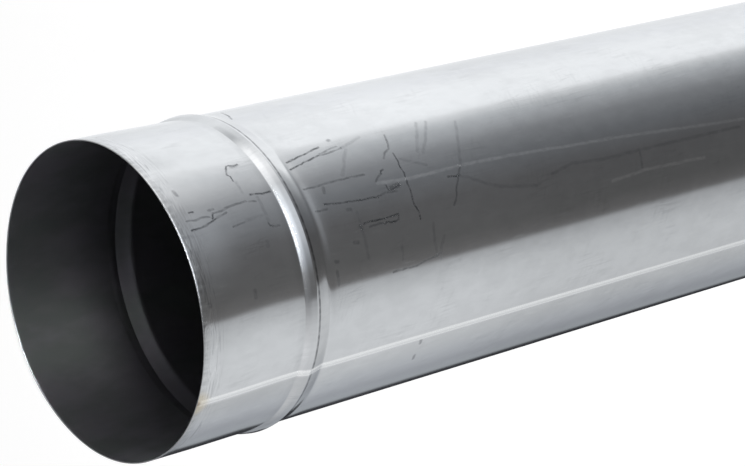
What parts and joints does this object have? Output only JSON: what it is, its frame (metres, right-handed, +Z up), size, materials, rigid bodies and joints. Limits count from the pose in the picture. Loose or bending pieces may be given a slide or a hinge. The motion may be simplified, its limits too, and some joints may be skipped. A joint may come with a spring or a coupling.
{
  "type": "chimney liner pipe",
  "caption": "Thin-walled round stainless steel pipe with a slightly opened socket, a rolled bead behind it, a welded seam and a drawn-in spigot end.",
  "frame": {"origin": "centre of the spigot end's rim, which the pipe stands on", "axes": "+Z up the pipe from its spigot to its socket; the weld is on the -Y side, turned towards -X"},
  "size_m": [0.1544, 0.1544, 1],
  "materials": {
    "stainless_steel": "cold rolled, satin, with a few scratches"
  },
  "bodies": {
    "root": {"liner_pipe": "stainless_steel"}
  },
  "joints": []
}
